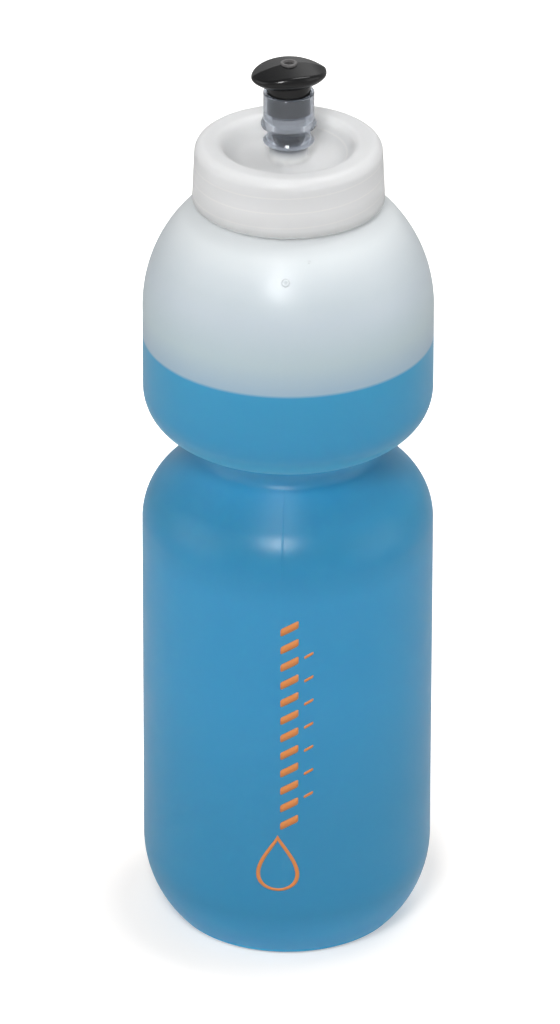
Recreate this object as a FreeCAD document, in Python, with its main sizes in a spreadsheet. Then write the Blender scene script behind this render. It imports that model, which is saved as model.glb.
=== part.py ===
import FreeCAD, Part
import math
import os

import Sketcher
from FreeCAD import Rotation, Vector

# Sports squeeze bottle with a screw cap and a push-pull drinking nozzle.
# Frame: millimetres, +Z up, origin at the centre of the base where it stands.
# Every round piece is turned about the Z axis, which is also the thread and valve axis.

SIZES = (
    # squeeze bottle, outside
    ("body_radius", 37.0, "straight lower body, a standard bicycle cage fit"),
    ("base_round", 30.0, "radius of the large rounding from the side to the base"),
    ("base_round_height", 21.0, "height where the side stops being straight"),
    ("base_corner", 2.7, "small rounding that meets the floor"),
    ("foot_width", 2.2, "flat ring that the bottle stands on"),
    ("punt_height", 2.6, "hollow under the base"),
    ("punt_slope", 3.4, "width of the slope from foot ring to hollow"),
    ("shoulder_height", 112.1, "top of the straight lower body"),
    ("shoulder_round", 17.0, "rounding from the lower body to the cone under the waist"),
    ("shoulder_turn", 45.0, "how far that rounding turns, in degrees"),
    ("waist_round", 4.0, "hollow rounding of the finger waist"),
    ("ball_radius", 36.7, "upper chamber"),
    ("ball_under_round", 11.6, "rounding under the upper chamber"),
    ("ball_low_height", 150.2, "bottom of the upper chamber's straight side"),
    ("ball_high_height", 172.4, "top of that side and centre of the dome"),
    # squeeze bottle, neck and walls
    ("wall", 1.1, "blown wall of the flexible bottle"),
    ("base_wall", 1.5, "floor of the bottle"),
    ("neck_radius", 20.4, "outside of the neck between its threads"),
    ("neck_root_round", 0.8, "rounding where the dome meets the neck"),
    ("neck_bore", 18.7, "inside of the neck"),
    ("neck_top", 214.7, "rim that the gasket seals on"),
    ("rim_round", 0.4, "rounding of the rim's outer edge"),
    # screw thread, single start, right hand
    ("thread_lead", 4.0, "rise of the cap in one full turn"),
    ("thread_depth", 1.2, "height of the neck's thread ridge"),
    ("thread_foot", 1.5, "width of a ridge at its foot"),
    ("thread_tip", 0.7, "width of a ridge at its crest"),
    ("neck_thread_start", 204.3, "middle of the neck ridge where it begins"),
    ("neck_thread_length", 8.0, "climb of the neck ridge"),
    ("cap_thread_length", 6.6, "climb of the cap ridge"),
    ("cap_thread_depth", 1.1, "height of the cap's thread ridge"),
    # screw cap
    ("cap_bottom", 202.4, "lower edge of the skirt"),
    ("cap_top", 217.7, "flat top of the cap"),
    ("skirt_radius", 24.2, "outside of the skirt at its lower edge"),
    ("cap_shoulder_radius", 23.6, "outside of the skirt under the top rounding"),
    ("cap_top_round", 2.6, "rounding of the cap's top edge"),
    ("skirt_edge_round", 0.4, "rounding of the skirt's lower edge"),
    ("skirt_bore", 22.1, "inside of the skirt between its threads"),
    ("cap_roof_wall", 1.8, "thickness of the top and of the dish"),
    ("dish_radius", 18.4, "inner edge of the flat top, where the sunk dish begins"),
    ("dish_rim_round", 2.2, "rounding of the dish's rim"),
    ("dish_floor_round", 5.2, "hollow rounding from the rim down to the floor"),
    ("dish_floor", 213.4, "floor of the dish"),
    ("gasket_thickness", 1.2, "seal between the rim and the cap"),
    ("gasket_slack", 0.15, "room beside the gasket on both edges"),
    # spout post, one piece with the cap
    ("tower_radius", 4.85, "foot of the spout post"),
    ("tower_foot_round", 0.7, "rounding where the post leaves the dish"),
    ("tower_top", 217.95, "ledge that the closed nozzle rests on"),
    ("tower_bore", 3.2, "drink way inside the foot"),
    ("tower_bore_top", 216.2, "top of the wide drink way"),
    ("post_radius", 3.3, "sliding part of the post"),
    ("post_bore", 2.1, "drink way inside the sliding part"),
    ("post_top", 227.4, "top of the post"),
    ("bead_radius", 3.65, "bead that stops the nozzle from pulling off"),
    ("bead_bottom", 224.4, "underside of that bead"),
    ("bead_width", 0.8, "height of that bead"),
    ("groove_bottom", 225.7, "lower wall of the seal ring's groove"),
    ("groove_width", 1.0, "width of the groove"),
    ("groove_radius", 2.75, "bottom of the groove"),
    ("pin_radius", 1.0, "plug pin that shuts the outlet"),
    ("pin_top", 238.8, "tip of the plug pin"),
    ("rib_width", 0.8, "each of the ribs that hold the pin in the post"),
    ("rib_height", 1.8, "height of those ribs"),
    ("rib_count", 3, "number of those ribs"),
    # nozzle collar, clear rigid plastic
    ("collar_bottom", 218.0, "lower edge of the flare"),
    ("flare_radius", 6.4, "flare at the collar's lower edge"),
    ("flare_lip", 0.35, "straight edge of the flare"),
    ("waist_radius", 5.2, "tooth grip between flare and flange"),
    ("waist_height", 221.0, "middle of the tooth grip"),
    ("flare_curve", 4.2, "hollow curve from the grip to the flare"),
    ("flange_radius", 6.95, "flange above the grip"),
    ("flange_low", 222.6, "lower edge of the flange"),
    ("flange_high", 223.2, "upper edge of the flange"),
    ("cup_foot", 224.5, "where the cup starts above the flange"),
    ("cup_radius", 6.4, "outside of the cup that holds the mouthpiece"),
    ("cup_top", 231.7, "rim of the cup"),
    ("cup_rim_round", 0.3, "rounding of the rim"),
    ("cup_bore", 5.45, "inside of the cup"),
    ("collar_bore", 4.4, "inside of the collar below the cup"),
    ("cup_floor", 226.5, "ledge inside the cup"),
    # mouthpiece, soft
    ("fit_gap", 0.05, "running clearance between nozzle pieces"),
    ("tube_bottom", 218.05, "lower end of the mouthpiece tube"),
    ("lip_height", 1.65, "thick end of the tube, which meets the bead"),
    ("chamber_radius", 3.78, "bore that the seal ring slides in"),
    ("chamber_top", 228.6, "top of that bore"),
    ("throat_radius", 2.3, "drink way round the plug pin"),
    ("neck_join", 235.0, "height up to which the round neck runs into the head"),
    ("head_length", 9.85, "half length of the bite head"),
    ("head_width", 7.25, "half width of the bite head"),
    ("head_depth", 3.7, "half height of the bite head"),
    ("head_height", 236.7, "middle of the bite head"),
    ("crest_top", 239.4, "ridge along the top of the bite head"),
    ("crest_arch", 20.0, "radius of that ridge along the head"),
    ("crest_slope", 10.0, "slope of both sides of the ridge, in degrees"),
    ("head_edge_round", 1.0, "rounding of the bite head's rim and ridge"),
    ("head_turn", 17.0, "how far the head is turned about Z"),
    # outlet ring and seal ring
    ("outlet_radius", 2.15, "outside of the outlet ring"),
    ("outlet_bore", 1.05, "outlet, shut by the plug pin"),
    ("outlet_mouth", 1.4, "countersink of the outlet"),
    ("outlet_bottom", 236.4, "lower end of the outlet ring"),
    ("outlet_top", 239.6, "upper end of the outlet ring"),
    ("outlet_edge_round", 0.3, "rounding of the ring's outer edge"),
    ("ledge_radius", 1.3, "hole in the ledge that the outlet ring sits on"),
    ("ledge_slope", 1.65, "height of the slope under that ledge"),
    ("seal_section", 0.5, "section radius of the seal ring"),
)


class Size:
    """A length that knows its value and the cell formula that drives it."""

    def __init__(self, value, text):
        self.value = float(value)
        self.text = text

    def __add__(self, other):
        other = as_size(other)
        return Size(self.value + other.value, f"({self.text} + {other.text})")

    def __sub__(self, other):
        other = as_size(other)
        return Size(self.value - other.value, f"({self.text} - {other.text})")

    def __mul__(self, other):
        other = as_size(other)
        return Size(self.value * other.value, f"({self.text} * {other.text})")

    def __truediv__(self, other):
        other = as_size(other)
        return Size(self.value / other.value, f"({self.text} / {other.text})")


def as_size(number):
    if isinstance(number, Size):
        return number
    return Size(number, repr(float(number)))


def root(size):
    return Size(math.sqrt(size.value), f"sqrt({size.text})")


def cosine(degrees):
    return Size(math.cos(math.radians(degrees.value)), f"cos({degrees.text} * 1 deg)")


def sine(degrees):
    return Size(math.sin(math.radians(degrees.value)), f"sin({degrees.text} * 1 deg)")


def leg(long_side, other_leg):
    """The other leg of a right-angled triangle."""
    return root(long_side * long_side - other_leg * other_leg)


def between(start, end, length, span):
    """Point at a given length from start towards end, which is span away."""
    return tuple(a + (b - a) * length / span for a, b in zip(start, end))


doc = FreeCAD.newDocument("squeeze_bottle")
sheet = doc.addObject("Spreadsheet::Sheet", "Sizes")
for row, (alias, value, note) in enumerate(SIZES, start=1):
    sheet.set(f"A{row}", str(value))
    sheet.setAlias(f"A{row}", alias)
    sheet.set(f"B{row}", note)
doc.recompute()
cell = {alias: Size(value, f"Sizes.{alias}") for alias, value, note in SIZES}
ZERO = Size(0.0, "0.0")


# ---------------------------------------------------------------- sketch and body helpers

def new_body(label):
    body = doc.addObject("PartDesign::Body", label)
    body.Label = label
    return body


def origin_plane(body, role):
    for feature in body.Origin.OriginFeatures:
        if feature.Role == role:
            return feature
    raise ValueError(role)


def new_sketch(body, name, role="XZ_Plane"):
    sketch = body.newObject("Sketcher::SketchObject", name)
    sketch.AttachmentSupport = [(origin_plane(body, role), "")]
    sketch.MapMode = "FlatFace"
    return sketch


def arc_piece(start, end, radius, turn):
    """Arc from start to end. turn +1 keeps its centre on the left, -1 on the right."""
    half = (end - start) * 0.5
    side = Vector(-half.y, half.x, 0) * (turn / half.Length)
    centre = start + half + side * math.sqrt(radius**2 - half.Length**2)
    first, last = (start, end) if turn > 0 else (end, start)
    first_angle = math.atan2(first.y - centre.y, first.x - centre.x)
    last_angle = math.atan2(last.y - centre.y, last.x - centre.x)
    if last_angle < first_angle:
        last_angle += 2 * math.pi
    circle = Part.Circle(centre, Vector(0, 0, 1), radius)
    return Part.ArcOfCircle(circle, first_angle, last_angle)


def set_place(sketch, index, end, corner):
    """Ties one end of a sketch piece to its radius and height."""
    for kind, size, axis in (("DistanceX", corner[0], -2), ("DistanceY", corner[1], -1)):
        if abs(size.value) < 1e-9:
            sketch.addConstraint(Sketcher.Constraint("PointOnObject", index, end, axis))
        else:
            number = sketch.addConstraint(
                Sketcher.Constraint(kind, -1, 1, index, end, size.value))
            sketch.setExpression(f"Constraints[{number}]", size.text)


def draw_outline(sketch, outline):
    """Closed outline. Each entry is (radius, height) for a straight side to the next
    corner, or (radius, height, bend, turn) for an arc of radius bend."""
    corners = [Vector(entry[0].value, entry[1].value, 0) for entry in outline]
    ends = []
    for index, entry in enumerate(outline):
        start = corners[index]
        end = corners[(index + 1) % len(corners)]
        if len(entry) == 2:
            sketch.addGeometry(Part.LineSegment(start, end), False)
            ends.append((1, 2))
        else:
            sketch.addGeometry(arc_piece(start, end, entry[2].value, entry[3]), False)
            ends.append((1, 2) if entry[3] > 0 else (2, 1))
    for index, entry in enumerate(outline):
        following = (index + 1) % len(outline)
        sketch.addConstraint(Sketcher.Constraint(
            "Coincident", index, ends[index][1], following, ends[following][0]))
    for index, entry in enumerate(outline):
        set_place(sketch, index, ends[index][0], entry)
        if len(entry) == 4:
            number = sketch.addConstraint(
                Sketcher.Constraint("Radius", index, entry[2].value))
            sketch.setExpression(f"Constraints[{number}]", entry[2].text)


def revolve(body, name, outline):
    """Adds a full turn of an outline about the body's Z axis."""
    sketch = new_sketch(body, f"{name}_outline")
    draw_outline(sketch, outline)
    doc.recompute()
    turned = body.newObject("PartDesign::Revolution", name)
    turned.Profile = sketch
    turned.ReferenceAxis = (sketch, ["V_Axis"])
    turned.Angle = 360
    doc.recompute()
    return turned


def thread_ridge(body, name, outline, length):
    """Adds a helical ridge whose section is the outline."""
    sketch = new_sketch(body, f"{name}_section")
    draw_outline(sketch, outline)
    doc.recompute()
    ridge = body.newObject("PartDesign::AdditiveHelix", name)
    ridge.Profile = sketch
    ridge.ReferenceAxis = (sketch, ["V_Axis"])
    ridge.Mode = "pitch-height-angle"
    ridge.setExpression("Pitch", cell["thread_lead"].text)
    ridge.setExpression("Height", length.text)
    ridge.Reversed = False
    doc.recompute()
    return ridge


# ---------------------------------------------------------------- squeeze bottle

def bottle_side(skin):
    """Side of the bottle from the foot ring to the dome, moved inwards by skin.
    The centres of its roundings are the same for the outside and the inside."""
    low_centre = (cell["body_radius"] - cell["base_round"], cell["base_round_height"])
    corner_reach = cell["base_round"] - cell["base_corner"]
    corner_drop = cell["base_round_height"] - cell["base_corner"]
    corner_centre = (low_centre[0] + leg(corner_reach, corner_drop), cell["base_corner"])
    body_radius = cell["body_radius"] - skin
    ball_radius = cell["ball_radius"] - skin
    shoulder_centre = (cell["body_radius"] - cell["shoulder_round"], cell["shoulder_height"])
    ball_centre = (cell["ball_radius"] - cell["ball_under_round"], cell["ball_low_height"])
    # a cone leaves the shoulder; the waist rounding touches it and the ball's underside
    out = cosine(cell["shoulder_turn"])
    up = sine(cell["shoulder_turn"])
    across = ball_centre[0] - shoulder_centre[0]
    upward = ball_centre[1] - shoulder_centre[1]
    reach = cell["ball_under_round"] + cell["waist_round"]
    gap = across * out + upward * up - cell["shoulder_round"] - cell["waist_round"]
    along = leg(reach, gap)
    waist_centre = (
        ball_centre[0] - gap * out + along * up,
        ball_centre[1] - gap * up - along * out,
    )
    corner_meet = between(low_centre, corner_centre, cell["base_round"] - skin, corner_reach)
    shoulder_round = cell["shoulder_round"] - skin
    cone_low = (shoulder_centre[0] + shoulder_round * out, shoulder_centre[1] + shoulder_round * up)
    waist_round = cell["waist_round"] + skin
    cone_high = (waist_centre[0] - waist_round * out, waist_centre[1] - waist_round * up)
    high_meet = between(ball_centre, waist_centre, cell["ball_under_round"] - skin, reach)
    return [
        (corner_centre[0], skin, cell["base_corner"] - skin, 1),
        (*corner_meet, cell["base_round"] - skin, 1),
        (body_radius, cell["base_round_height"]),
        (body_radius, cell["shoulder_height"], shoulder_round, 1),
        cone_low,
        (*cone_high, waist_round, -1),
        (*high_meet, cell["ball_under_round"] - skin, 1),
        (ball_radius, cell["ball_low_height"]),
        (ball_radius, cell["ball_high_height"], ball_radius, 1),
    ]


def backwards(outline, last):
    """The same open outline drawn from its other end, which is the corner last."""
    corners = [entry[:2] for entry in outline] + [last]
    bends = [entry[2:] for entry in outline]
    drawn = []
    for index in range(len(outline), 0, -1):
        bend = bends[index - 1]
        drawn.append(corners[index] + ((bend[0], -bend[1]) if bend else ()))
    drawn.append(corners[0])
    return drawn


def build_bottle():
    body = new_body("bottle_body")
    outside = bottle_side(ZERO)
    inside = bottle_side(cell["wall"])
    foot_outer = outside[0][0]
    foot_inner = foot_outer - cell["foot_width"]
    punt_edge = foot_inner - cell["punt_slope"]
    fillet_reach = cell["ball_radius"] + cell["neck_root_round"]
    fillet_radius = cell["neck_radius"] + cell["neck_root_round"]
    fillet_rise = leg(fillet_reach, fillet_radius)
    dome_centre = (ZERO, cell["ball_high_height"])
    fillet_centre = (fillet_radius, cell["ball_high_height"] + fillet_rise)
    dome_meet = between(dome_centre, fillet_centre, cell["ball_radius"], fillet_reach)
    rim_in = cell["neck_radius"] - cell["rim_round"]
    rim_low = cell["neck_top"] - cell["rim_round"]
    bore_meet = cell["ball_high_height"] + leg(cell["ball_radius"] - cell["wall"], cell["neck_bore"])
    neck = [
        (*dome_meet, cell["neck_root_round"], -1),
        (cell["neck_radius"], fillet_centre[1]),
        (cell["neck_radius"], rim_low, cell["rim_round"], 1),
        (rim_in, cell["neck_top"]),
        (cell["neck_bore"], cell["neck_top"]),
    ]
    return_side = backwards(inside, (cell["neck_bore"], bore_meet))
    floor_edge = (inside[0][0], cell["base_wall"])
    return_side[-1] = floor_edge
    return_side[-2] = return_side[-2][:2] + (cell["base_corner"] - cell["wall"], -1)
    base = [
        (foot_inner, cell["base_wall"]),
        (punt_edge, cell["punt_height"] + cell["base_wall"]),
        (ZERO, cell["punt_height"] + cell["base_wall"]),
        (ZERO, cell["punt_height"]),
        (punt_edge, cell["punt_height"]),
        (foot_inner, ZERO),
    ]
    revolve(body, "bottle_shell", outside + neck + return_side + base)
    foot = cell["thread_foot"] / 2
    tip = cell["thread_tip"] / 2
    middle = cell["neck_thread_start"]
    buried = cell["neck_radius"] - cell["neck_root_round"] / 2
    crest = cell["neck_radius"] + cell["thread_depth"]
    thread_ridge(body, "neck_thread", [
        (buried, middle - foot),
        (crest, middle - tip),
        (crest, middle + tip),
        (buried, middle + foot),
    ], cell["neck_thread_length"])
    return body


# ---------------------------------------------------------------- screw cap

def build_cap():
    body = new_body("screw_cap")
    c = cell
    roof = c["cap_top"] - c["cap_roof_wall"]
    edge = c["skirt_edge_round"]
    # skirt and top
    skirt = [
        (c["skirt_bore"], c["cap_bottom"]),
        (c["skirt_radius"] - edge, c["cap_bottom"], edge, 1),
        (c["skirt_radius"], c["cap_bottom"] + edge),
        (c["cap_shoulder_radius"], c["cap_top"] - c["cap_top_round"], c["cap_top_round"], 1),
        (c["cap_shoulder_radius"] - c["cap_top_round"], c["cap_top"]),
    ]
    # dish and the foot of the spout post; the rim and the hollow are tangent arcs
    rim_round = c["dish_rim_round"]
    floor_round = c["dish_floor_round"]
    foot_round = c["tower_foot_round"]
    span = rim_round + floor_round
    rise = c["cap_top"] - c["dish_floor"]
    floor_edge = c["dish_radius"] - leg(span, span - rise)
    rim_centre = (c["dish_radius"], c["cap_top"] - rim_round)
    floor_centre = (floor_edge, c["dish_floor"] + floor_round)
    dish_meet = between(rim_centre, floor_centre, rim_round, span)
    dish = [
        (c["dish_radius"], c["cap_top"], rim_round, 1),
        (*dish_meet, floor_round, -1),
        (floor_edge, c["dish_floor"]),
        (c["tower_radius"] + foot_round, c["dish_floor"], foot_round, -1),
        (c["tower_radius"], c["dish_floor"] + foot_round),
        (c["tower_radius"], c["tower_top"]),
    ]
    # sliding part of the post, with its bead and the groove of the seal ring
    bead_slope = c["bead_radius"] - c["post_radius"]
    bead_top = c["bead_bottom"] + c["bead_width"]
    groove_top = c["groove_bottom"] + c["groove_width"]
    post = [
        (c["post_radius"], c["tower_top"]),
        (c["post_radius"], c["bead_bottom"]),
        (c["bead_radius"], c["bead_bottom"]),
        (c["bead_radius"], bead_top - bead_slope),
        (c["post_radius"], bead_top),
        (c["post_radius"], c["groove_bottom"]),
        (c["groove_radius"], c["groove_bottom"]),
        (c["groove_radius"], groove_top),
        (c["post_radius"], groove_top),
        (c["post_radius"], c["post_top"]),
        (c["post_bore"], c["post_top"]),
        (c["post_bore"], c["tower_bore_top"] + (c["tower_bore"] - c["post_bore"])),
        (c["tower_bore"], c["tower_bore_top"]),
    ]
    # underside: the dish hangs into the neck with an even wall
    wall = c["cap_roof_wall"]
    under = c["dish_floor"] - wall
    under_meet = between(rim_centre, floor_centre, rim_round - wall, span)
    well = [
        (c["tower_bore"], under),
        (floor_edge, under, floor_round + wall, 1),
        (*under_meet, rim_round - wall, -1),
        (c["dish_radius"], roof),
        (c["skirt_bore"], roof),
    ]
    revolve(body, "cap_shell", skirt + dish + post + well)

    foot = c["thread_foot"] / 2
    tip = c["thread_tip"] / 2
    # the cap's ridge lies half a lead away from the neck's
    middle = c["neck_thread_start"] + c["thread_lead"] / 2
    buried = c["skirt_bore"] + c["skirt_edge_round"]
    crest = c["skirt_bore"] - c["cap_thread_depth"]
    thread_ridge(body, "cap_thread", [
        (crest, middle - tip),
        (buried, middle - foot),
        (buried, middle + foot),
        (crest, middle + tip),
    ], c["cap_thread_length"])

    pin_bottom = c["post_top"] - c["rib_height"]
    tip_rise = c["pin_radius"] / 2
    tip_round = (c["pin_radius"] * c["pin_radius"] + tip_rise * tip_rise) / (tip_rise * 2)
    revolve(body, "plug_pin", [
        (ZERO, pin_bottom),
        (c["pin_radius"], pin_bottom),
        (c["pin_radius"], c["pin_top"] - tip_rise, tip_round, 1),
        (ZERO, c["pin_top"]),
    ])
    # ribs between the pin and the post
    overlap = (c["post_radius"] - c["post_bore"]) / 3
    sketch = new_sketch(body, "rib_plan", "XY_Plane")
    sketch.AttachmentOffset = FreeCAD.Placement(Vector(0, 0, pin_bottom.value), Rotation())
    sketch.setExpression("AttachmentOffset.Base.z", pin_bottom.text)
    half = c["rib_width"] / 2
    draw_outline(sketch, [
        (c["pin_radius"] - overlap, ZERO - half),
        (c["post_bore"] + overlap, ZERO - half),
        (c["post_bore"] + overlap, half),
        (c["pin_radius"] - overlap, half),
    ])
    doc.recompute()
    rib = body.newObject("PartDesign::Pad", "rib")
    rib.Profile = sketch
    rib.setExpression("Length", c["rib_height"].text)
    doc.recompute()
    ribs = body.newObject("PartDesign::PolarPattern", "ribs")
    ribs.Originals = [rib]
    ribs.Axis = (sketch, ["N_Axis"])
    ribs.Angle = 360
    ribs.setExpression("Occurrences", c["rib_count"].text)
    body.Tip = ribs
    doc.recompute()
    return body


def build_gasket():
    body = new_body("cap_gasket")
    inner = cell["neck_bore"] - cell["gasket_slack"]
    outer = cell["skirt_bore"] - cell["gasket_slack"]
    top = cell["neck_top"] + cell["gasket_thickness"]
    revolve(body, "gasket_ring", [
        (inner, cell["neck_top"]),
        (outer, cell["neck_top"]),
        (outer, top),
        (inner, top),
    ])
    return body


def build_seal():
    ring = doc.addObject("Part::Torus", "nozzle_seal_ring")
    ring.Label = "nozzle_seal_ring"
    reach = cell["groove_radius"] + cell["seal_section"]
    middle = cell["groove_bottom"] + cell["groove_width"] / 2
    ring.setExpression("Radius1", reach.text)
    ring.setExpression("Radius2", cell["seal_section"].text)
    ring.setExpression("Placement.Base.z", middle.text)
    doc.recompute()
    return ring


# ---------------------------------------------------------------- nozzle

def build_collar():
    body = new_body("nozzle_collar")
    c = cell
    lip_top = c["collar_bottom"] + c["flare_lip"]
    rim_round = c["cup_rim_round"]
    revolve(body, "collar_shell", [
        (c["collar_bore"], c["collar_bottom"]),
        (c["flare_radius"] - c["flare_lip"] / 2, c["collar_bottom"]),
        (c["flare_radius"], lip_top, c["flare_curve"], -1),
        (c["waist_radius"], c["waist_height"]),
        (c["flange_radius"], c["flange_low"]),
        (c["flange_radius"], c["flange_high"]),
        (c["cup_radius"], c["cup_foot"]),
        (c["cup_radius"], c["cup_top"] - rim_round, rim_round, 1),
        (c["cup_radius"] - rim_round, c["cup_top"]),
        (c["cup_bore"] + rim_round, c["cup_top"], rim_round, 1),
        (c["cup_bore"], c["cup_top"] - rim_round),
        (c["cup_bore"], c["cup_floor"]),
        (c["collar_bore"], c["cup_floor"]),
    ])
    return body


def mouthpiece_stem():
    """Round part of the mouthpiece: a neck in the cup and a tube down the post."""
    body = new_body("mouthpiece_stem")
    c = cell
    gap = c["fit_gap"]
    revolve(body, "stem_solid", [
        (ZERO, c["tube_bottom"]),
        (c["collar_bore"] - gap, c["tube_bottom"]),
        (c["collar_bore"] - gap, c["cup_floor"] + gap),
        (c["cup_bore"] - gap, c["cup_floor"] + gap),
        (c["cup_bore"] - gap, c["neck_join"]),
        (ZERO, c["neck_join"]),
    ])
    return body


def mouthpiece_way():
    """Everything that is hollow in the mouthpiece, as one turned solid."""
    body = new_body("mouthpiece_way")
    c = cell
    lip_bore = c["post_radius"] + c["fit_gap"]
    slope = c["chamber_radius"] - c["throat_radius"]
    below = c["tube_bottom"] - c["lip_height"]
    above = c["outlet_top"] + c["head_depth"]
    revolve(body, "way_solid", [
        (ZERO, below),
        (lip_bore, below),
        (lip_bore, c["tube_bottom"] + c["lip_height"]),
        (c["chamber_radius"], c["tube_bottom"] + c["lip_height"]),
        (c["chamber_radius"], c["chamber_top"]),
        (c["throat_radius"], c["chamber_top"] + slope),
        (c["throat_radius"], c["outlet_bottom"] - c["ledge_slope"]),
        (c["ledge_radius"], c["outlet_bottom"]),
        (c["outlet_radius"], c["outlet_bottom"]),
        (c["outlet_radius"], above),
        (ZERO, above),
    ])
    return body


def build_mouthpiece():
    c = cell
    # the pebble is turned a quarter so that its seam stays clear of the pointed ends
    pebble = doc.addObject("Part::Ellipsoid", "head_pebble")
    pebble.Angle1 = -90
    pebble.setExpression("Radius1", c["head_depth"].text)
    pebble.setExpression("Radius2", c["head_width"].text)
    pebble.setExpression("Radius3", c["head_length"].text)
    pebble.Placement = FreeCAD.Placement(Vector(), Rotation(Vector(0, 0, 1), 90))
    pebble.setExpression("Placement.Base.z", c["head_height"].text)
    # two large rollers, sloping opposite ways, meet in the arched ridge along the head
    half = c["head_width"] * 2
    slope = c["crest_slope"]
    axis_height = c["crest_top"] - c["crest_arch"] / cosine(slope)
    rollers = []
    for name, side in (("crest_front", 1), ("crest_back", -1)):
        roller = doc.addObject("Part::Cylinder", name)
        roller.setExpression("Radius", c["crest_arch"].text)
        roller.setExpression("Height", (half * 2).text)
        tilt = slope * side - 90
        roller.Placement = FreeCAD.Placement(Vector(), Rotation(Vector(1, 0, 0), tilt.value))
        roller.setExpression("Placement.Base.y", (ZERO - half * cosine(slope)).text)
        roller.setExpression("Placement.Base.z", (axis_height - half * sine(slope) * side).text)
        rollers.append(roller)
    sharp = doc.addObject("Part::MultiCommon", "sharp_head")
    sharp.Shapes = [pebble] + rollers
    doc.recompute()
    # the rim and the ridge are the only edges above the pebble's underside
    edge_round = c["head_edge_round"].value
    underside = c["head_height"].value - edge_round
    head = doc.addObject("Part::Fillet", "bite_head")
    head.Base = sharp
    head.Edges = [
        (number, edge_round, edge_round)
        for number, edge in enumerate(sharp.Shape.Edges, start=1)
        if edge.BoundBox.ZMin > underside
    ]
    doc.recompute()
    soft = doc.addObject("Part::MultiFuse", "soft_solid")
    soft.Shapes = [head, mouthpiece_stem()]
    doc.recompute()
    piece = doc.addObject("Part::Cut", "mouthpiece")
    piece.Label = "mouthpiece"
    piece.Base = soft
    piece.Tool = mouthpiece_way()
    piece.Placement = FreeCAD.Placement(Vector(), Rotation(Vector(0, 0, 1), c["head_turn"].value))
    piece.setExpression("Placement.Rotation.Angle", c["head_turn"].text)
    doc.recompute()
    return piece


def build_outlet_ring():
    body = new_body("outlet_ring")
    c = cell
    edge = c["outlet_edge_round"]
    mouth_depth = c["outlet_mouth"] - c["outlet_bore"]
    revolve(body, "ring_turned", [
        (c["outlet_bore"], c["outlet_bottom"]),
        (c["outlet_radius"], c["outlet_bottom"]),
        (c["outlet_radius"], c["outlet_top"] - edge, edge, 1),
        (c["outlet_radius"] - edge, c["outlet_top"]),
        (c["outlet_mouth"], c["outlet_top"]),
        (c["outlet_bore"], c["outlet_top"] - mouth_depth),
    ])
    return body


PIECES = [
    build_bottle(),
    build_cap(),
    build_gasket(),
    build_seal(),
    build_collar(),
    build_mouthpiece(),
    build_outlet_ring(),
]

for obj in doc.Objects:
    if "Invalid" in obj.State or "Error" in obj.State:
        raise RuntimeError(f"{obj.Label} failed: {obj.State}")
os.makedirs("parts", exist_ok=True)
for piece in PIECES:
    shape = piece.Shape
    if shape.isNull() or not shape.isValid():
        raise RuntimeError(f"{piece.Label} has no valid shape")
for piece in PIECES:
    box = piece.Shape.optimalBoundingBox(False)
    size = ", ".join(f"{edge:.2f}" for edge in (box.XLength, box.YLength, box.ZMin, box.ZMax))
    print(f"{piece.Label}: {len(piece.Shape.Solids)} solid, {piece.Shape.Volume:.1f} mm3, {size}")
    piece.Shape.exportStep(f"parts/{piece.Label}.step")
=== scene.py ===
import math

import bmesh
import bpy
from mathutils import Matrix, Vector


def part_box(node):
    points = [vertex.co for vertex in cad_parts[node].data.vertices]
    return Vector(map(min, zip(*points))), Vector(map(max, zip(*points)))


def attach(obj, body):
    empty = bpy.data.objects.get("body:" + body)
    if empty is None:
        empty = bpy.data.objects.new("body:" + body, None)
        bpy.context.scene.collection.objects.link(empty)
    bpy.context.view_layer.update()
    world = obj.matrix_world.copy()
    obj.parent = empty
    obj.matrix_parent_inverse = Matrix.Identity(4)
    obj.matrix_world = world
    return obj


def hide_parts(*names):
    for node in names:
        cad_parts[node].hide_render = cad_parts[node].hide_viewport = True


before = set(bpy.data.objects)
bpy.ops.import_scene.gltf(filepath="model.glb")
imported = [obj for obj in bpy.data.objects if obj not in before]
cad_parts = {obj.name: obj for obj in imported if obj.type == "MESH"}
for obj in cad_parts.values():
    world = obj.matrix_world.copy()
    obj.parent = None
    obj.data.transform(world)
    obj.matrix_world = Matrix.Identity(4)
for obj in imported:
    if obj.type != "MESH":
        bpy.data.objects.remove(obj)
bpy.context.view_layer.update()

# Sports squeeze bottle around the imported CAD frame. Metres, +Z up, the front is -Y.

MM = 0.001

# ---------------------------------------------------------------- driving sizes
# The bottle's wall is made of tangent arcs, which these sizes fix.
BODY_RADIUS = 37.0 * MM
BASE_ROUND = 30.0 * MM
BASE_ROUND_HEIGHT = 21.0 * MM
BASE_CORNER = 2.7 * MM
FOOT_WIDTH = 2.2 * MM
PUNT_HEIGHT = 2.6 * MM
PUNT_SLOPE = 3.4 * MM
BASE_WALL = 1.5 * MM
SHOULDER_HEIGHT = 112.1 * MM
SHOULDER_ROUND = 17.0 * MM
SHOULDER_TURN = math.radians(45.0)
WAIST_ROUND = 4.0 * MM
BALL_RADIUS = 36.7 * MM
BALL_UNDER_ROUND = 11.6 * MM
BALL_LOW = 150.2 * MM
BALL_HIGH = 172.4 * MM
WALL = 1.1 * MM
NECK_RADIUS = 20.4 * MM
NECK_ROOT_ROUND = 0.8 * MM
NECK_BORE = 18.7 * MM
NECK_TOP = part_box("bottle_body")[1].z
RIM_ROUND = 0.4 * MM
THREAD_LEAD = 4.0 * MM
THREAD_START = 204.3 * MM
THREAD_TURNS = 2.0
THREAD_DEPTH = 1.2 * MM
THREAD_FOOT = 1.5 * MM
THREAD_TIP = 0.7 * MM
THREAD_SUNK = NECK_ROOT_ROUND / 2
THREAD_CREST_SUNK = NECK_ROOT_ROUND / 8
THREAD_STEPS = 96
THREAD_FADE_STEPS = 8
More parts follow.
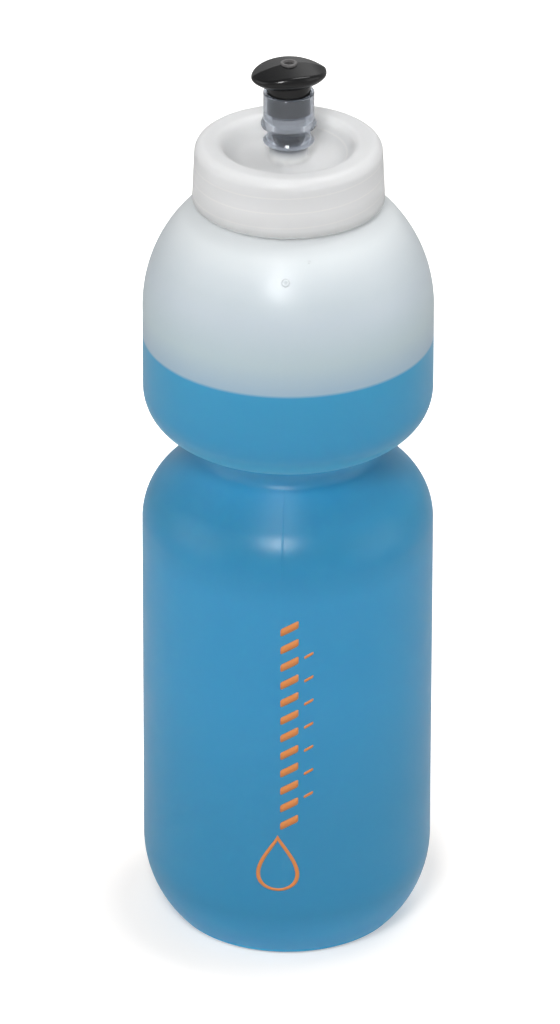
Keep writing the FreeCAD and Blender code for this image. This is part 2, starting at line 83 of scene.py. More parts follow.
UNDERSIDE_POINTS = 3

DRINK_LEVEL = 165.0 * MM
DRINK_GAP = 0.06 * MM
MENISCUS = 1.1 * MM
MENISCUS_STEPS = 8
LEVEL_BLUR = 0.12 * MM

# Heights and radii in the cap and the nozzle where a material changes.
COLLAR_LOW = 218.0 * MM
FLANGE_HIGH = 223.2 * MM
CUP_FLOOR = 226.5 * MM
CAP_LOW = 202.4 * MM
DISH_FLOOR = 213.4 * MM
POST_LEDGE = 217.95 * MM
POST_RADIUS = 5.2 * MM
CAP_TOP = 217.7 * MM
CAP_TOP_ROUND = 2.2 * MM

# Half the width of the skirt's drawn thread line, as a share of the lead.
THREAD_LINE_SHARE = 0.07

# The part of the noise's range that the materials use, and its detail.
NOISE_LOW = 0.3
NOISE_HIGH = 0.7
NOISE_DETAIL = 3.0

# The raised line where the mould's halves met.
PARTING_TURN = math.radians(-2.3)
PARTING_WIDTH = 0.3 * MM
PARTING_HEIGHT = 0.05 * MM
PARTING_LOW = 113.0 * MM
PARTING_TOP = 124.5 * MM
PARTING_FAINT = 0.15

# Raised marks on the dome: name, azimuth and elevation in degrees, radius, height.
MOULD_MARKS = (
    ("mould_mark", -1.4, 34.7, 1.05 * MM, 0.32 * MM),
    ("mould_pip", 11.0, 42.7, 0.4 * MM, 0.08 * MM),
)
MARK_STEPS = 32

# Printed decoration. Across is measured along the wall from the front.
INK_LIFT = 0.04 * MM
INK_SLANT = 0.55
BARS_ACROSS = 0.5 * MM
BARS_WIDTH = 4.6 * MM
BARS_LOW = 40.9 * MM
BARS_TOP = 102.0 * MM
BARS_COUNT = 12
BARS_SHARE = 0.42
BARS_CORNER = 0.5 * MM
BAR_STEPS = 24
DASHES_ACROSS = 5.4 * MM
DASHES_WIDTH = 2.4 * MM
DASHES_LOW = 48.0 * MM
DASHES_TOP = 95.0 * MM
DASHES_COUNT = 7
DASHES_THICKNESS = 0.8 * MM
DASHES_CORNER = 0.3 * MM
DROP_ACROSS = -2.4 * MM
DROP_HEIGHT = 31.5 * MM
DROP_HALF_WIDTH = 6.2 * MM
DROP_HALF_HEIGHT = 8.2 * MM
DROP_STROKE = 1.15 * MM
DROP_STEPS = 96

# The floor's own colour turns greyer and a little darker away from the bottle. Its glow,
# which only the camera sees, grows with distance.
FLOOR_HALF = 3.0
FLOOR_NEAR = (0.75, 0.705, 0.67, 1.0)
FLOOR_FAR = (0.66, 0.65, 0.64, 1.0)
FLOOR_FADE = (50.0 * MM, 200.0 * MM)
FLOOR_GLOW_NEAR = 0.38
FLOOR_GLOW_FAR = 1.0
FLOOR_GLOW_FADE = (42.0 * MM, 82.0 * MM)
FLOOR_GLOW_COLOUR = (1, 0.99, 0.98, 1)

# The room's light falls off from the horizon up to where the ceiling starts.
HORIZON_LIGHT = 0.58
CEILING_LIGHT = 0.28
CEILING_START = 0.8

# Softboxes: name, azimuth and elevation in degrees, distance, width, height, power.
LIGHTS = (
    ("key", -9, 42, 1.2, 0.26, 0.38, 8.3),
    ("left", -78, 14, 1.3, 1.0, 1.1, 3.3),
    ("right", 76, 10, 1.3, 1.0, 1.1, 2.9),
    ("top", 105, 68, 1.2, 0.6, 0.5, 3.9),
    ("back", 180, 38, 1.3, 0.9, 0.5, 1.3),
)
LIGHTS_AIM = (0, 0, 0.12)

CAMERA_ELEVATION = math.radians(27.9)
CAMERA_ROLL = math.radians(0.12)
CAMERA_DISTANCE = 2544.5 * MM
CAMERA_AIM = (-1.98 * MM, 1.31 * MM, 112.47 * MM)
CAMERA_LENS = 351.56

ON_AXIS = 1e-7
ARC_STEP = math.radians(3.0)
TURN_STEPS = 192


# ---------------------------------------------------------------- outline helpers

def arc(centre, radius, start, end):
    """Points of an arc from one angle to another, in radians."""
    steps = max(2, math.ceil(abs(end - start) / ARC_STEP))
    points = []
    for step in range(steps + 1):
        angle = start + (end - start) * step / steps
        points.append((centre[0] + radius * math.cos(angle), centre[1] + radius * math.sin(angle)))
    return points


def angle_to(centre, point):
    return math.atan2(point[1] - centre[1], point[0] - centre[0])


def wall_outline(skin, top):
    """Outline of the bottle's side from the foot ring up to a height, moved inwards by skin."""
    low_centre = (BODY_RADIUS - BASE_ROUND, BASE_ROUND_HEIGHT)
    reach = BASE_ROUND - BASE_CORNER
    drop = BASE_ROUND_HEIGHT - BASE_CORNER
    corner_centre = (low_centre[0] + math.sqrt(reach**2 - drop**2), BASE_CORNER)
    shoulder_centre = (BODY_RADIUS - SHOULDER_ROUND, SHOULDER_HEIGHT)
    ball_centre = (BALL_RADIUS - BALL_UNDER_ROUND, BALL_LOW)
    out, up = math.cos(SHOULDER_TURN), math.sin(SHOULDER_TURN)
    across = ball_centre[0] - shoulder_centre[0]
    upward = ball_centre[1] - shoulder_centre[1]
    gap = across * out + upward * up - SHOULDER_ROUND - WAIST_ROUND
    along = math.sqrt((BALL_UNDER_ROUND + WAIST_ROUND)**2 - gap**2)
    waist_centre = (ball_centre[0] - gap * out + along * up,
                    ball_centre[1] - gap * up - along * out)
    corner_turn = angle_to(low_centre, corner_centre)
    ball_turn = angle_to(ball_centre, waist_centre)
    outline = arc(corner_centre, BASE_CORNER - skin, -math.pi / 2, corner_turn)
    outline += arc(low_centre, BASE_ROUND - skin, corner_turn, 0)
    outline += arc(shoulder_centre, SHOULDER_ROUND - skin, 0, SHOULDER_TURN)
    outline += arc(waist_centre, WAIST_ROUND + skin, SHOULDER_TURN + math.pi, ball_turn + math.pi)
    outline += arc(ball_centre, BALL_UNDER_ROUND - skin, ball_turn, 0)
    if top > BALL_HIGH:
        outline += arc((0, BALL_HIGH), BALL_RADIUS - skin, 0,
                       math.asin((top - BALL_HIGH) / (BALL_RADIUS - skin)))
    else:
        outline.append((BALL_RADIUS - skin, top))
    return outline


def lathe(name, outline, turns=None, relief=None):
    """Closed turned mesh. The outline starts and ends on the axis. relief(turn, number)
    is how far a point of the outline stands proud at a turn about the axis."""
    if turns is None:
        turns = [2 * math.pi * step / TURN_STEPS for step in range(TURN_STEPS)]
    mesh = bmesh.new()
    rings = []
    for number, (radius, height) in enumerate(outline):
        if radius < ON_AXIS:
            rings.append([mesh.verts.new((0, 0, height))])
            continue
        ring = []
        for turn in turns:
            reach = radius + (relief(turn, number) if relief else 0)
            ring.append(mesh.verts.new((reach * math.cos(turn), reach * math.sin(turn), height)))
        rings.append(ring)
    for low, high in zip(rings, rings[1:]):
        for step in range(len(turns)):
            after = (step + 1) % len(turns)
            corners = [low[step % len(low)], low[after % len(low)],
                       high[after % len(high)], high[step % len(high)]]
            mesh.faces.new(list(dict.fromkeys(corners)))
    return finished(name, mesh)


def finished(name, mesh):
    """Turns a bmesh into a smooth object of the scene."""
    bmesh.ops.recalc_face_normals(mesh, faces=mesh.faces)
    for face in mesh.faces:
        face.smooth = True
    data = bpy.data.meshes.new(name)
    mesh.to_mesh(data)
    mesh.free()
    piece = bpy.data.objects.new(name, data)
    bpy.context.scene.collection.objects.link(piece)
    return piece


# ---------------------------------------------------------------- materials

def rgb(red, green, blue):
    """Scene-linear colour from the usual 0 to 255 display values."""
    def linear(value):
        value /= 255
        return value / 12.92 if value <= 0.04045 else ((value + 0.055) / 1.055) ** 2.4
    return (linear(red), linear(green), linear(blue), 1.0)


def new_material(name, **inputs):
    material = bpy.data.materials.new(name)
    material.use_nodes = True
    shader = material.node_tree.nodes["Principled BSDF"]
    for key, value in inputs.items():
        shader.inputs[key.replace("_", " ")].default_value = value
    return material, shader


def map_range(tree, value, start, end, low=0.0, high=1.0):
    """Low at start and high at end, even in between."""
    ranged = tree.nodes.new("ShaderNodeMapRange")
    ranged.inputs["From Min"].default_value = start
    ranged.inputs["From Max"].default_value = end
    ranged.inputs["To Min"].default_value = low
    ranged.inputs["To Max"].default_value = high
    tree.links.new(value, ranged.inputs["Value"])
    return ranged.outputs["Result"]


def noise(material, scale):
    """Noise in the object's own space."""
    nodes = material.node_tree.nodes
    links = material.node_tree.links
    place = nodes.new("ShaderNodeTexCoord")
    texture = nodes.new("ShaderNodeTexNoise")
    texture.inputs["Scale"].default_value = scale
    texture.inputs["Detail"].default_value = NOISE_DETAIL
    links.new(place.outputs["Object"], texture.inputs["Vector"])
    return texture.outputs["Fac"]


def spread(material, value, low, high):
    """Maps the middle of a noise value to a range."""
    return map_range(material.node_tree, value, NOISE_LOW, NOISE_HIGH, low, high)


def uneven_roughness(material, shader, scale, low, high):
    """Roughness that varies a little over the surface."""
    material.node_tree.links.new(
        spread(material, noise(material, scale), low, high), shader.inputs["Roughness"])


def grain(material, shader, scale, depth, strength):
    """Fine moulded grain as a bump."""
    nodes = material.node_tree.nodes
    links = material.node_tree.links
    bump = nodes.new("ShaderNodeBump")
    bump.inputs["Strength"].default_value = strength
    bump.inputs["Distance"].default_value = depth
    links.new(noise(material, scale), bump.inputs["Height"])
    links.new(bump.outputs["Normal"], shader.inputs["Normal"])


def height_colours(material, stops):
    """Colour that changes with height above the base. stops are (height, colour)."""
    tree = material.node_tree
    low, high = stops[0][0], stops[-1][0]
    share = map_range(tree, place_parts(material)["Z"], low, high)
    ramp = tree.nodes.new("ShaderNodeValToRGB")
    elements = ramp.color_ramp.elements
    while len(elements) < len(stops):
        elements.new(0.5)
    for element, (height, colour) in zip(elements, stops):
        element.position = (height - low) / (high - low)
        element.color = colour
    tree.links.new(share, ramp.inputs["Fac"])
    return ramp.outputs["Color"]


def bottle_colours_and_painted_light(material):
    """White above the drink's level and blue below it. The wall lets no view through, so the
    drink's colour is painted on it by height, and so are light and shade: the pale band at the
    waist, under the upper chamber, is painted light, the shoulder's slope and the low body are
    darker as painted shade, the foot is lighter as painted light, and the blue-grey above the
    level, paler upwards, is painted light from the drink."""
    drink = rgb(54, 149, 194)
    return height_colours(material, [
        # Lighter at the foot: painted light.
        (0.0, rgb(72, 176, 226)),
        (0.006, rgb(60, 158, 206)),
        # Darker low on the body: painted shade.
        (0.015, rgb(46, 140, 182)),
        (0.040, rgb(50, 142, 184)),
        (0.075, drink),
        (0.106, drink),
        # Darker on the shoulder's slope: painted shade.
        (0.114, rgb(45, 141, 184)),
        (0.120, rgb(45, 137, 176)),
        (0.127, rgb(48, 140, 180)),
        (0.132, rgb(54, 147, 188)),
        # Pale band at the waist, under the upper chamber: painted light.
        (0.1365, rgb(92, 182, 224)),
        (0.1395, rgb(112, 198, 234)),
        (0.1425, rgb(94, 178, 214)),
        (0.1445, rgb(70, 156, 196)),
        (0.147, rgb(54, 146, 188)),
        (DRINK_LEVEL - LEVEL_BLUR, rgb(58, 152, 192)),
        # Blue-grey above the level, paler upwards: painted light from the drink.
        (DRINK_LEVEL + LEVEL_BLUR, rgb(160, 182, 198)),
        (0.173, rgb(181, 197, 203)),
        (0.1835, rgb(193, 203, 210)),
        (0.188, rgb(197, 206, 211)),
        (0.1925, rgb(206, 213, 217)),
        (0.1975, rgb(221, 226, 228)),
        (0.2005, rgb(212, 216, 218)),
        (NECK_TOP, rgb(214, 217, 219)),
    ])


def bottle_plastic():
    """Milky polyethylene."""
    material, shader = new_material(
        "frosted_bottle", IOR=1.42, Subsurface_Weight=1.0, Subsurface_Scale=0.8 * MM)
    shader.inputs["Subsurface Radius"].default_value = (1.0, 1.0, 1.0)
    shader.inputs["Specular IOR Level"].default_value = 0.50
    # The wall's height colours hold painted light and shade as well as the drink's blue.
    material.node_tree.links.new(bottle_colours_and_painted_light(material), shader.inputs["Base Color"])
    uneven_roughness(material, shader, 90.0, 0.31, 0.37)
    grain(material, shader, 2500.0, 0.02 * MM, 0.4)
    return material


def mark_plastic():
    """The bottle's plastic without the scattering inside it, for the small raised marks."""
    material, shader = new_material("frosted_mark", IOR=1.5)
    # The same height colours as the wall, with their painted light and shade.
    material.node_tree.links.new(bottle_colours_and_painted_light(material), shader.inputs["Base Color"])
    uneven_roughness(material, shader, 900.0, 0.18, 0.28)
    return material


def cap_plastic():
    """Milky polypropylene, clearer towards the thin edge of the skirt. The thread is drawn on
    the skirt as fine pale lines, and the post is painted darker towards the closed nozzle:
    painted shade under the collar, together with the dark tube inside seen through it."""
    material, shader = new_material(
        "frosted_cap", IOR=1.49, Subsurface_Weight=1.0, Subsurface_Scale=8.0 * MM)
    shader.inputs["Subsurface Radius"].default_value = (1.0, 0.98, 0.95)
    shader.inputs["Specular IOR Level"].default_value = 0.3
    links = material.node_tree.links
    skirt = blend(material, thread_lines(material), rgb(246, 246, 244), rgb(255, 254, 250))
    # Darker up the post to its ledge: painted shade under the collar, with the dark tube inside
    # seen through it.
    post_painted_shade = height_colours(material, [
        (DISH_FLOOR, rgb(246, 246, 244)),
        (POST_LEDGE - 3.4 * MM, rgb(228, 229, 229)),
        (POST_LEDGE - 2.2 * MM, rgb(186, 188, 191)),
        (POST_LEDGE - 1.0 * MM, rgb(130, 133, 138)),
        (POST_LEDGE, rgb(98, 101, 107)),
    ])
    on_post = maths(material, "LESS_THAN", axis_distance(material), POST_RADIUS)
    links.new(blend(material, on_post, skirt, post_painted_shade), shader.inputs["Base Color"])
    uneven_roughness(material, shader, 120.0, 0.32, 0.38)
    cover = height_colours(material, [
        (CAP_LOW, (0.35, 0.35, 0.35, 1)),
        (CAP_LOW + 2.0 * MM, (0.7, 0.7, 0.7, 1)),
        (CAP_LOW + 6.0 * MM, (0.95, 0.95, 0.95, 1)),
        (CAP_LOW + 8.0 * MM, (1, 1, 1, 1)),
    ])
    links.new(cover, shader.inputs["Alpha"])
    return material


def place_parts(material):
    """X, Y and Z of the shaded point in the object's own space."""
    nodes = material.node_tree.nodes
    place = nodes.new("ShaderNodeTexCoord")
    parts = nodes.new("ShaderNodeSeparateXYZ")
    material.node_tree.links.new(place.outputs["Object"], parts.inputs["Vector"])
    return parts.outputs


def axis_distance(material):
    """Distance of the shaded point from the bottle's axis."""
    parts = place_parts(material)
    across = maths(material, "MULTIPLY", parts["X"], parts["X"])
    along = maths(material, "MULTIPLY", parts["Y"], parts["Y"])
    return maths(material, "SQRT", maths(material, "ADD", across, along))


def blend(material, factor, first, second):
    """Colour between two colours, each a fixed colour or another step's output."""
    links = material.node_tree.links
    mix = material.node_tree.nodes.new("ShaderNodeMix")
    mix.data_type = "RGBA"
    links.new(factor, mix.inputs["Factor"])
    for socket, value in ((mix.inputs["A"], first), (mix.inputs["B"], second)):
        if isinstance(value, tuple):
            socket.default_value = value
        else:
            links.new(value, socket)
    return mix.outputs["Result"]


def maths(material, operation, *values):
    """One maths step. Each value is a number or another step's output."""
    step = material.node_tree.nodes.new("ShaderNodeMath")
    step.operation = operation
    for socket, value in zip(step.inputs, values):
        if isinstance(value, (int, float)):
            socket.default_value = value
        else:
            material.node_tree.links.new(value, socket)
    return step.outputs["Value"]


def thread_lines(material):
    """1 on a fine helical line with the thread's lead on the skirt, 0 elsewhere."""
    parts = place_parts(material)
    turn = maths(material, "ARCTAN2", parts["Y"], parts["X"])
    turn = maths(material, "DIVIDE", turn, 2 * math.pi)
    climb = maths(material, "SUBTRACT", parts["Z"], THREAD_START)
    climb = maths(material, "DIVIDE", climb, THREAD_LEAD)
    phase = maths(material, "FRACT", maths(material, "SUBTRACT", climb, turn))
    away = maths(material, "ABSOLUTE", maths(material, "SUBTRACT", phase, 0.5))
    line = maths(material, "SUBTRACT", 1.0, maths(material, "DIVIDE", away, THREAD_LINE_SHARE))
    line = maths(material, "MAXIMUM", line, 0.0)
    skirt = maths(material, "LESS_THAN", parts["Z"], CAP_TOP - CAP_TOP_ROUND)
    return maths(material, "MULTIPLY", line, skirt)


def clear_plastic():
    """Rigid clear plastic, made less clear and so paler as painted light along the lower lip,
    where it is a painted highlight line, and from the flange's top to the cup's floor, where it
    is the painted lit band of that upward-facing part."""
    material, shader = new_material("clear_collar", IOR=1.5)
    # Less clear, and so paler, as painted light: a highlight line on the lower lip and a lit band
    # from the flange's top to the cup's floor.
    clear, painted_light_clouding = (0.95, 0.95, 0.95, 1), (0.74, 0.74, 0.74, 1)
    passing = height_colours(material, [
        (COLLAR_LOW, painted_light_clouding),
        (COLLAR_LOW + 0.6 * MM, painted_light_clouding),
        (COLLAR_LOW + 0.9 * MM, clear),
        (FLANGE_HIGH - 0.3 * MM, clear),
        (FLANGE_HIGH, painted_light_clouding),
        (CUP_FLOOR - 0.3 * MM, painted_light_clouding),
        (CUP_FLOOR, clear),
    ])
    material.node_tree.links.new(passing, shader.inputs["Transmission Weight"])
    shader.inputs["Base Color"].default_value = rgb(214, 221, 232)
    uneven_roughness(material, shader, 120.0, 0.04, 0.10)
    return material


def soft_black():
    material, shader = new_material("soft_mouthpiece", IOR=1.48)
    shader.inputs["Base Color"].default_value = rgb(14, 14, 15)
    shader.inputs["Specular IOR Level"].default_value = 0.4
    uneven_roughness(material, shader, 120.0, 0.2, 0.26)
    return material


def plain_rubber(name, colour, low, high):
    material, shader = new_material(name, IOR=1.5)
    shader.inputs["Base Color"].default_value = colour
    uneven_roughness(material, shader, 400.0, low, high)
    grain(material, shader, 3000.0, 0.01 * MM, 0.5)
    return material


def drink_liquid():
    material, shader = new_material("blue_drink", IOR=1.33, Roughness=0.3)
    shader.inputs["Specular IOR Level"].default_value = 0.2
    colour = height_colours(material, [
        (0.0, rgb(40, 130, 185)),
        (DRINK_LEVEL, rgb(60, 150, 200)),
    ])
    material.node_tree.links.new(colour, shader.inputs["Base Color"])
    return material


def print_ink():
    """Screen-printed ink in patches of two dull oranges."""
    material, shader = new_material("orange_ink", IOR=1.45)
    patches = spread(material, noise(material, 700.0), 0.0, 1.0)
    material.node_tree.links.new(
        blend(material, patches, rgb(216, 130, 62), rgb(206, 134, 78)),
        shader.inputs["Base Color"])
    uneven_roughness(material, shader, 700.0, 0.32, 0.45)
    return material


def dress(node, material):
    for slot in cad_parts[node].material_slots:
        slot.material = material


# ---------------------------------------------------------------- bottle

def shell_outline():
    """Outline of the whole blown bottle from the underside's middle to the floor's middle,
    and how many of its points are on the outside."""
    reach = BALL_RADIUS + NECK_ROOT_ROUND
    root = NECK_RADIUS + NECK_ROOT_ROUND
    rise = math.sqrt(reach**2 - root**2)
    meet = math.atan2(rise, root)
    outside = wall_outline(0, BALL_HIGH + BALL_RADIUS * math.sin(meet))
    foot_inner = outside[0][0] - FOOT_WIDTH
    punt_edge = foot_inner - PUNT_SLOPE
    underside = [(0, PUNT_HEIGHT), (punt_edge, PUNT_HEIGHT), (foot_inner, 0)]
    neck = arc((root, BALL_HIGH + rise), NECK_ROOT_ROUND, math.pi + meet, math.pi)
    neck += arc((NECK_RADIUS - RIM_ROUND, NECK_TOP - RIM_ROUND), RIM_ROUND, 0, math.pi / 2)
    bore_low = BALL_HIGH + math.sqrt((BALL_RADIUS - WALL) ** 2 - NECK_BORE**2)
    inside = [(radius, height) for radius, height in wall_outline(WALL, bore_low)
              if height > BASE_WALL]
    floor = [(foot_inner, BASE_WALL), (punt_edge, PUNT_HEIGHT + BASE_WALL),
             (0, PUNT_HEIGHT + BASE_WALL)]
    outer = underside + outside
    return outer + neck[1:] + [(NECK_BORE, NECK_TOP)] + inside[::-1] + floor, len(outer)


def build_bottle(material):
    """The blown shell. The mould's two halves leave a fine raised line front and back."""
    outline, outer_count = shell_outline()
    parting = [PARTING_TURN - math.pi / 2, PARTING_TURN + math.pi / 2]
    width = PARTING_WIDTH / BODY_RADIUS
    turns = [2 * math.pi * step / TURN_STEPS for step in range(TURN_STEPS)]
    for middle in parting:
        turns += [(middle + width * share) % (2 * math.pi)
                  for share in (-2, -1, -0.6, -0.3, 0, 0.3, 0.6, 1, 2)]
    turns.sort()

    def ridge(turn, number):
        if not UNDERSIDE_POINTS < number < outer_count:
            return 0
        away = min(abs(math.remainder(turn - middle, 2 * math.pi)) for middle in parting)
        if away >= width:
            return 0
        share = 1.0 if PARTING_LOW < outline[number][1] < PARTING_TOP else PARTING_FAINT
        return PARTING_HEIGHT * share * (0.5 + 0.5 * math.cos(math.pi * away / width))

    shell = lathe("bottle_shell", outline, turns, ridge)
    shell.data.materials.append(material)
    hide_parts("bottle_body")
    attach(shell, "bottle")


def build_neck_thread(material):
    """Helical ridge that the cap turns on, fading out at both ends."""
    mesh = bmesh.new()
    rows = []
    steps = round(THREAD_TURNS * THREAD_STEPS)
    for step in range(steps + 1):
        turn = 2 * math.pi * THREAD_TURNS * step / steps
        middle = THREAD_START + THREAD_LEAD * THREAD_TURNS * step / steps
        fade = min(1.0, min(step, steps - step) / THREAD_FADE_STEPS)
        foot = NECK_RADIUS - THREAD_SUNK
        crest = NECK_RADIUS + THREAD_DEPTH * math.sqrt(fade) - THREAD_CREST_SUNK
        rows.append([
            mesh.verts.new((reach * math.cos(turn), reach * math.sin(turn), middle + offset))
            for reach, offset in ((foot, -THREAD_FOOT / 2), (crest, -THREAD_TIP / 2),
                                  (crest, THREAD_TIP / 2), (foot, THREAD_FOOT / 2))])
    for low, high in zip(rows, rows[1:]):
        for index in range(4):
            after = (index + 1) % 4
            mesh.faces.new((low[index], low[after], high[after], high[index]))
    mesh.faces.new(rows[0])
    mesh.faces.new(rows[-1])
    thread = finished("neck_thread", mesh)
    thread.data.materials.append(material)
    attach(thread, "bottle")


# ---------------------------------------------------------------- drink

def build_drink():
    """The drink fills the bottle up to its level and climbs the wall a little."""
    skin = WALL + DRINK_GAP
    side = wall_outline(skin, DRINK_LEVEL + MENISCUS)
    foot_inner = side[0][0] - FOOT_WIDTH
    punt_edge = foot_inner - PUNT_SLOPE
    floor = BASE_WALL + DRINK_GAP
    side = [(radius, height) for radius, height in side if height > floor]
    rim = side[-1][0]
    surface = []
    for step in range(1, MENISCUS_STEPS + 1):
        share = step / MENISCUS_STEPS
        surface.append((rim - share * 2.5 * MENISCUS,
                        DRINK_LEVEL + MENISCUS * (1 - share) ** 3))
    outline = [(0, PUNT_HEIGHT + floor), (punt_edge, PUNT_HEIGHT + floor), (foot_inner, floor)]
    outline += side + surface + [(0, DRINK_LEVEL)]
    drink = lathe("drink", outline)
    drink.data.materials.append(drink_liquid())
    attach(drink, "bottle")


# ---------------------------------------------------------------- marks left by the mould

def build_mould_mark(name, azimuth, elevation, radius, height, material):
    """Small raised ring on the dome with a shallow middle."""
    outline = [
        (0, height * 0.2), (radius * 0.35, height * 0.2),
        (radius * 0.5, height * 0.8), (radius * 0.65, height), (radius * 0.8, height * 0.8),
        (radius, 0), (radius, -height), (0, -height),
    ]
    mark = lathe(name, outline, [2 * math.pi * step / MARK_STEPS for step in range(MARK_STEPS)])
    a, e = math.radians(azimuth), math.radians(elevation)
    outwards = Vector((math.sin(a) * math.cos(e), -math.cos(a) * math.cos(e), math.sin(e)))
    place = Vector((0, 0, BALL_HIGH)) + outwards * BALL_RADIUS
    turn = outwards.to_track_quat("Z", "Y")
    mark.data.transform(Matrix.LocRotScale(place, turn, None))
    mark.data.materials.append(material)
    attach(mark, "bottle")


# ---------------------------------------------------------------- print

def on_wall(across, height, lift):
    """Point of the straight wall, across measured along the surface from the front."""
    angle = across / BODY_RADIUS
    reach = BODY_RADIUS + lift
    return (reach * math.sin(angle), -reach * math.cos(angle), height)


def ink_strip(mesh, edges, closed=False):
    """Thin closed layer of ink between two edges, given as pairs of (across, height)."""
    rows = [[mesh.verts.new(on_wall(*pair[side], lift)) for side, lift in
             ((0, -INK_LIFT), (0, INK_LIFT), (1, INK_LIFT), (1, -INK_LIFT))] for pair in edges]
    following = rows[1:] + rows[:1] if closed else rows[1:]
    for row, after in zip(rows, following):
        for index in range(4):
            other = (index + 1) % 4
            mesh.faces.new((row[index], row[other], after[other], after[index]))
    if not closed:
        mesh.faces.new(rows[0])
        mesh.faces.new(rows[-1])


def ink_bar(mesh, across, height, width, thickness, corner):
    """Bar with rounded ends that rises by the slant times its width."""
    edges = []
    for step in range(BAR_STEPS + 1):
        place = width * (0.5 - 0.5 * math.cos(math.pi * step / BAR_STEPS))
        near = min(place, width - place)
        inset = 0.0
        if near < corner:
            inset = corner - math.sqrt(max(corner**2 - (corner - near) ** 2, 0))
        inset = min(inset, thickness * 0.49)
        middle = height + INK_SLANT * (place - width / 2)
        edges.append(((across - width / 2 + place, middle - thickness / 2 + inset),
                      (across - width / 2 + place, middle + thickness / 2 - inset)))
    ink_strip(mesh, edges)


def ink_drop(mesh, across, height, half_width, half_height, stroke):
    """Outline of a water drop that stands on its round end."""
    def drop(turn, shrink):
        reach = half_width - shrink
        tall = half_height - shrink
        body = math.sin(turn) * math.sin(turn / 2) ** 1.4 * 1.25
        return (across + reach * body, height + tall * math.cos(turn) - shrink * 0.35)

    edges = []
    for step in range(DROP_STEPS):
        turn = 2 * math.pi * step / DROP_STEPS
        edges.append((drop(turn, 0), drop(turn, stroke)))
    ink_strip(mesh, edges, closed=True)


def build_print():
    """Plain decoration: a column of slanted bars, a column of fine ticks and a water drop."""
    mesh = bmesh.new()
    pitch = (BARS_TOP - BARS_LOW) / BARS_COUNT
    for number in range(BARS_COUNT):
        ink_bar(mesh, BARS_ACROSS, BARS_LOW + pitch * (number + 0.5), BARS_WIDTH,
                pitch * BARS_SHARE, BARS_CORNER)
    ink_drop(mesh, DROP_ACROSS, DROP_HEIGHT, DROP_HALF_WIDTH, DROP_HALF_HEIGHT, DROP_STROKE)
    bars = finished("print_bars", mesh)
    bars.data.materials.append(print_ink())
    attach(bars, "bottle")
    mesh = bmesh.new()
    pitch = (DASHES_TOP - DASHES_LOW) / DASHES_COUNT
    for number in range(DASHES_COUNT):
        ink_bar(mesh, DASHES_ACROSS, DASHES_LOW + pitch * (number + 0.5), DASHES_WIDTH,
                DASHES_THICKNESS, DASHES_CORNER)
    line = finished("print_dashes", mesh)
    line.data.materials.append(bars.data.materials[0])
    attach(line, "bottle")


# ---------------------------------------------------------------- stage

def build_floor():
    mesh = bmesh.new()
    corners = [mesh.verts.new((across * FLOOR_HALF, along * FLOOR_HALF, 0))
               for across, along in ((-1, -1), (1, -1), (1, 1), (-1, 1))]
    mesh.faces.new(corners)
    floor = finished("floor", mesh)
    material, shader = new_material("pale_floor", Roughness=0.9)
    tree = material.node_tree
    distance = axis_distance(material)
    fade = map_range(tree, distance, *FLOOR_FADE)
    tree.links.new(blend(material, fade, FLOOR_NEAR, FLOOR_FAR), shader.inputs["Base Color"])
    shader.inputs["Specular IOR Level"].default_value = 0.0
    shader.inputs["Emission Color"].default_value = FLOOR_GLOW_COLOUR
    ray = tree.nodes.new("ShaderNodeLightPath")
    glow = map_range(tree, distance, *FLOOR_GLOW_FADE, FLOOR_GLOW_NEAR, FLOOR_GLOW_FAR)
    tree.links.new(maths(material, "MULTIPLY", ray.outputs["Is Camera Ray"], glow),
                   shader.inputs["Emission Strength"])
    floor.data.materials.append(material)


def build_light(name, azimuth, elevation, distance, width, height, power, aim):
    """Softbox that looks at aim. Azimuth 0 stands in front, at -Y."""
    data = bpy.data.lights.new(name, "AREA")
    data.shape = "RECTANGLE"
    data.size = width
    data.size_y = height
    data.energy = power
    light = bpy.data.objects.new(name, data)
    bpy.context.scene.collection.objects.link(light)
    a, e = math.radians(azimuth), math.radians(elevation)
    back = Vector((math.sin(a) * math.cos(e), -math.cos(a) * math.cos(e), math.sin(e)))
    light.location = Vector(aim) + back * distance
    light.rotation_mode = "QUATERNION"
    light.rotation_quaternion = (-back).to_track_quat("-Z", "Y")


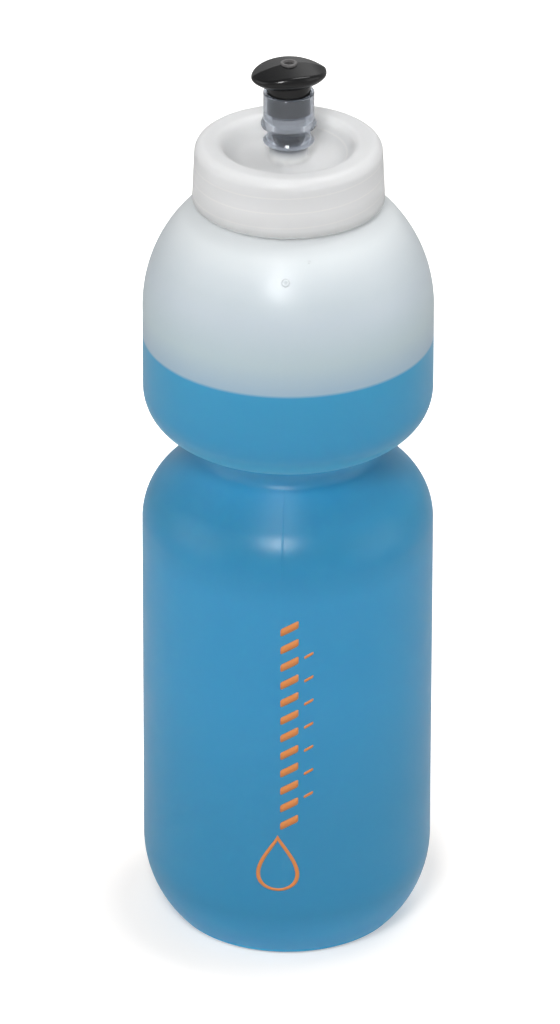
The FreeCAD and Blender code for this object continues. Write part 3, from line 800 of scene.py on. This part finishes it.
def build_world():
    """White backdrop for the eye. The room that lights the bottle darkens upwards."""
    world = bpy.data.worlds.new("studio")
    world.use_nodes = True
    nodes = world.node_tree.nodes
    links = world.node_tree.links
    room = nodes["Background"]
    room.inputs["Color"].default_value = (0.99, 0.995, 1.0, 1)
    place = nodes.new("ShaderNodeTexCoord")
    parts = nodes.new("ShaderNodeSeparateXYZ")
    links.new(place.outputs["Generated"], parts.inputs["Vector"])
    strength = map_range(world.node_tree, parts.outputs["Z"], 0.0, CEILING_START,
                         HORIZON_LIGHT, CEILING_LIGHT)
    links.new(strength, room.inputs["Strength"])
    backdrop = nodes.new("ShaderNodeBackground")
    backdrop.inputs["Color"].default_value = (1, 1, 1, 1)
    mix = nodes.new("ShaderNodeMixShader")
    ray = nodes.new("ShaderNodeLightPath")
    links.new(ray.outputs["Is Camera Ray"], mix.inputs["Fac"])
    links.new(room.outputs["Background"], mix.inputs[1])
    links.new(backdrop.outputs["Background"], mix.inputs[2])
    links.new(mix.outputs["Shader"], nodes["World Output"].inputs["Surface"])
    bpy.context.scene.world = world


def build_camera():
    aim = Vector(CAMERA_AIM)
    back = Vector((0, -math.cos(CAMERA_ELEVATION), math.sin(CAMERA_ELEVATION)))
    up = Vector((0, math.sin(CAMERA_ELEVATION), math.cos(CAMERA_ELEVATION)))
    right = Vector((1, 0, 0))
    turn = Matrix((right, up, back)).transposed()
    data = bpy.data.cameras.new("camera")
    data.lens = CAMERA_LENS
    data.sensor_width = 36.0
    data.clip_start = 0.1
    data.clip_end = 20.0
    camera = bpy.data.objects.new("camera", data)
    camera.matrix_world = Matrix.LocRotScale(
        aim + back * CAMERA_DISTANCE,
        (turn @ Matrix.Rotation(CAMERA_ROLL, 3, "Z")).to_quaternion(), None)
    bpy.context.scene.collection.objects.link(camera)
    bpy.context.scene.camera = camera


wall_plastic = bottle_plastic()
dress("screw_cap", cap_plastic())
dress("cap_gasket", plain_rubber("white_seal", rgb(236, 235, 230), 0.45, 0.6))
dress("nozzle_seal_ring", plain_rubber("black_seal", rgb(22, 22, 22), 0.35, 0.5))
dress("nozzle_collar", clear_plastic())
dress("mouthpiece", soft_black())
dress("outlet_ring", plain_rubber("grey_outlet", rgb(84, 82, 82), 0.2, 0.3))
build_bottle(wall_plastic)
build_neck_thread(wall_plastic)
build_drink()
small_plastic = mark_plastic()
for mark in MOULD_MARKS:
    build_mould_mark(*mark, small_plastic)
build_print()
build_floor()
build_world()
for softbox in LIGHTS:
    build_light(*softbox, LIGHTS_AIM)
build_camera()
bpy.context.scene.view_settings.view_transform = "Standard"
